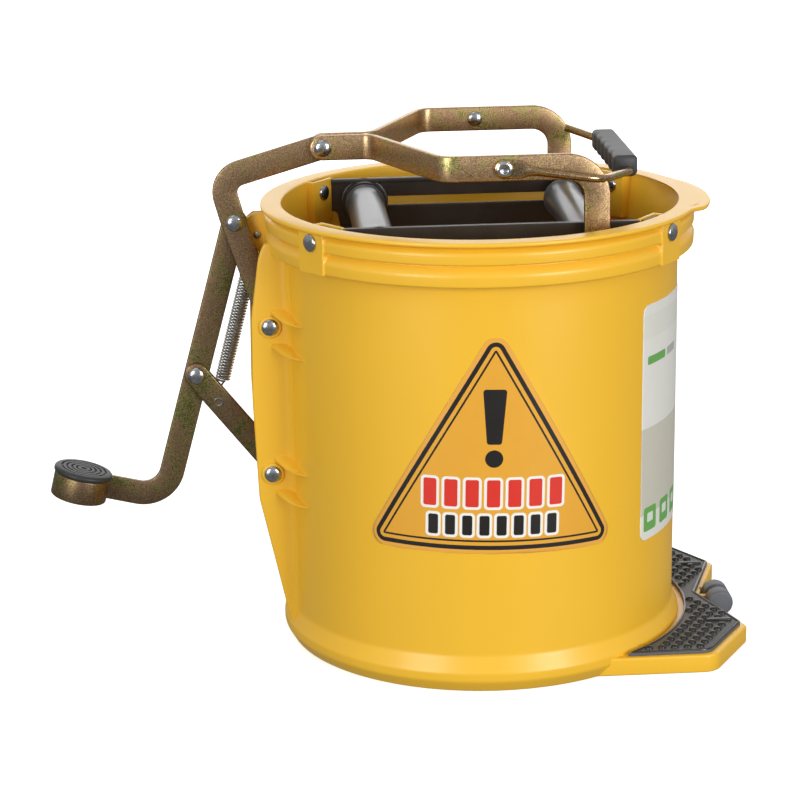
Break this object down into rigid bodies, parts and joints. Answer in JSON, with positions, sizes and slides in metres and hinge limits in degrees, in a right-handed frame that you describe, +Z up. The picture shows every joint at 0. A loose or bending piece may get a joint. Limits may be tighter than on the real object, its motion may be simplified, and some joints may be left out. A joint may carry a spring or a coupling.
{
  "type": "wringer mop bucket",
  "caption": "Round mop bucket with pouring spout, pedal linkage and yoke that draws one wringer roller to the other, bail handle, studded step and transport roller.",
  "frame": {"origin": "centre of the bucket's base, on the floor", "axes": "+X towards the spout and the foot step, +Y across the rollers, +Z up"},
  "size_m": [0.5367, 0.3326, 0.395],
  "materials": {
    "bucket_yellow": "satin moulded polypropylene, lightly glossy",
    "pad_rubber": "matt moulded rubber with studs",
    "wheel_grey": "slate grey moulded plastic",
    "black_plastic": "black moulded plastic, satin",
    "roller_grey": "dark grey roller, glossy when new",
    "zinc_gold": "yellow zinc passivated steel, iridescent",
    "bright_steel": "bright nickel plated steel",
    "spring_steel": "zinc plated spring wire",
    "cap_rubber": "black soft plastic with moulded rings",
    "grip_black": "black grained hand grip",
    "decal_orange": "printed vinyl, orange with a black border",
    "label_white": "printed paper label with plain colour bands"
  },
  "bodies": {
    "bucket": {"bucket_base": "bucket_yellow", "bucket_wall": "bucket_yellow", "bucket_rim": "bucket_yellow", "bucket_ears": "bucket_yellow", "bucket_step": "bucket_yellow", "step_pad": "pad_rubber", "transport_axle": "bright_steel", "front_side_plate": "black_plastic", "rear_side_plate": "black_plastic", "plate_rivets": "bright_steel", "fixed_axle": "bright_steel", "fixed_roller_bushes": "black_plastic", "crank_pin": "bright_steel", "crank_spacers": "bright_steel", "strut_pin": "bright_steel", "strut_spacers": "bright_steel", "spring_anchor": "bright_steel", "return_spring": "spring_steel", "floor_decal": "decal_orange", "side_label": "label_white"},
    "transport_wheel": {"transport_roller": "wheel_grey"},
    "fixed_roller_body": {"fixed_roller": "roller_grey"},
    "carriage": {"moving_axle": "bright_steel", "slide_bushes": "black_plastic", "axle_sleeves": "zinc_gold", "axle_clips": "bright_steel"},
    "moving_roller_body": {"moving_roller": "roller_grey"},
    "crank": {"bell_crank": "zinc_gold", "knee_rivet": "bright_steel"},
    "lever": {"pedal_lever": "zinc_gold", "pedal_cap": "cap_rubber"},
    "strut_arm": {"strut": "zinc_gold", "shin_rivet": "bright_steel", "spring_eyelet": "bright_steel"},
    "yoke": {"yoke_front_bar": "zinc_gold", "yoke_rear_bar": "zinc_gold", "tip_rivet": "bright_steel", "bail_rivets": "bright_steel"},
    "bail": {"bail_wire": "zinc_gold", "bail_grip": "grip_black"}
  },
  "joints": [
    {"name": "crank_press", "type": "hinge", "parent": "bucket", "child": "crank", "pos_m": [-0.162, 0, 0.255], "axis": [0, -1, 0], "range_deg": [0, 45], "stiffness_Nm_per_rad": 4, "springref_deg": -22.92},
    {"name": "lever_swing", "type": "hinge", "parent": "crank", "child": "lever", "pos_m": [-0.186, 0.0052, 0.329], "axis": [0, -1, 0], "range_deg": [-37.96, 1]},
    {"name": "strut_swing", "type": "hinge", "parent": "bucket", "child": "strut_arm", "pos_m": [-0.163, 0, 0.139], "axis": [0, -1, 0], "range_deg": [-1, 33.16], "deforming": ["return_spring"]},
    {"name": "yoke_swing", "type": "hinge", "parent": "crank", "child": "yoke", "pos_m": [-0.118, 0, 0.3855], "axis": [0, -1, 0], "range_deg": [-46, 1]},
    {"name": "carriage_slide", "type": "slide", "parent": "bucket", "child": "carriage", "axis": [-1, 0, 0], "range_m": [-0.0005, 0.1065]},
    {"name": "moving_roller_spin", "type": "hinge", "parent": "carriage", "child": "moving_roller_body", "pos_m": [0.076, 0, 0.3235], "axis": [0, 1, 0], "continuous": true},
    {"name": "fixed_roller_spin", "type": "hinge", "parent": "bucket", "child": "fixed_roller_body", "pos_m": [-0.082, 0, 0.3235], "axis": [0, 1, 0], "continuous": true},
    {"name": "bail_swing", "type": "hinge", "parent": "yoke", "child": "bail", "pos_m": [0.008, 0, 0.3855], "axis": [0, -1, 0], "range_deg": [0, 160]},
    {"name": "transport_spin", "type": "hinge", "parent": "bucket", "child": "transport_wheel", "pos_m": [0.19, 0, 0.011], "axis": [0, 1, 0], "continuous": true}
  ],
  "couplings": [
    {"joint": "lever_swing", "follows": "crank_press", "ratio": -0.8213},
    {"joint": "strut_swing", "follows": "crank_press", "ratio": 0.7146},
    {"joint": "yoke_swing", "follows": "crank_press", "ratio": -1},
    {"joint": "carriage_slide", "follows": "crank_press", "m_per_rad": 0.1347}
  ]
}
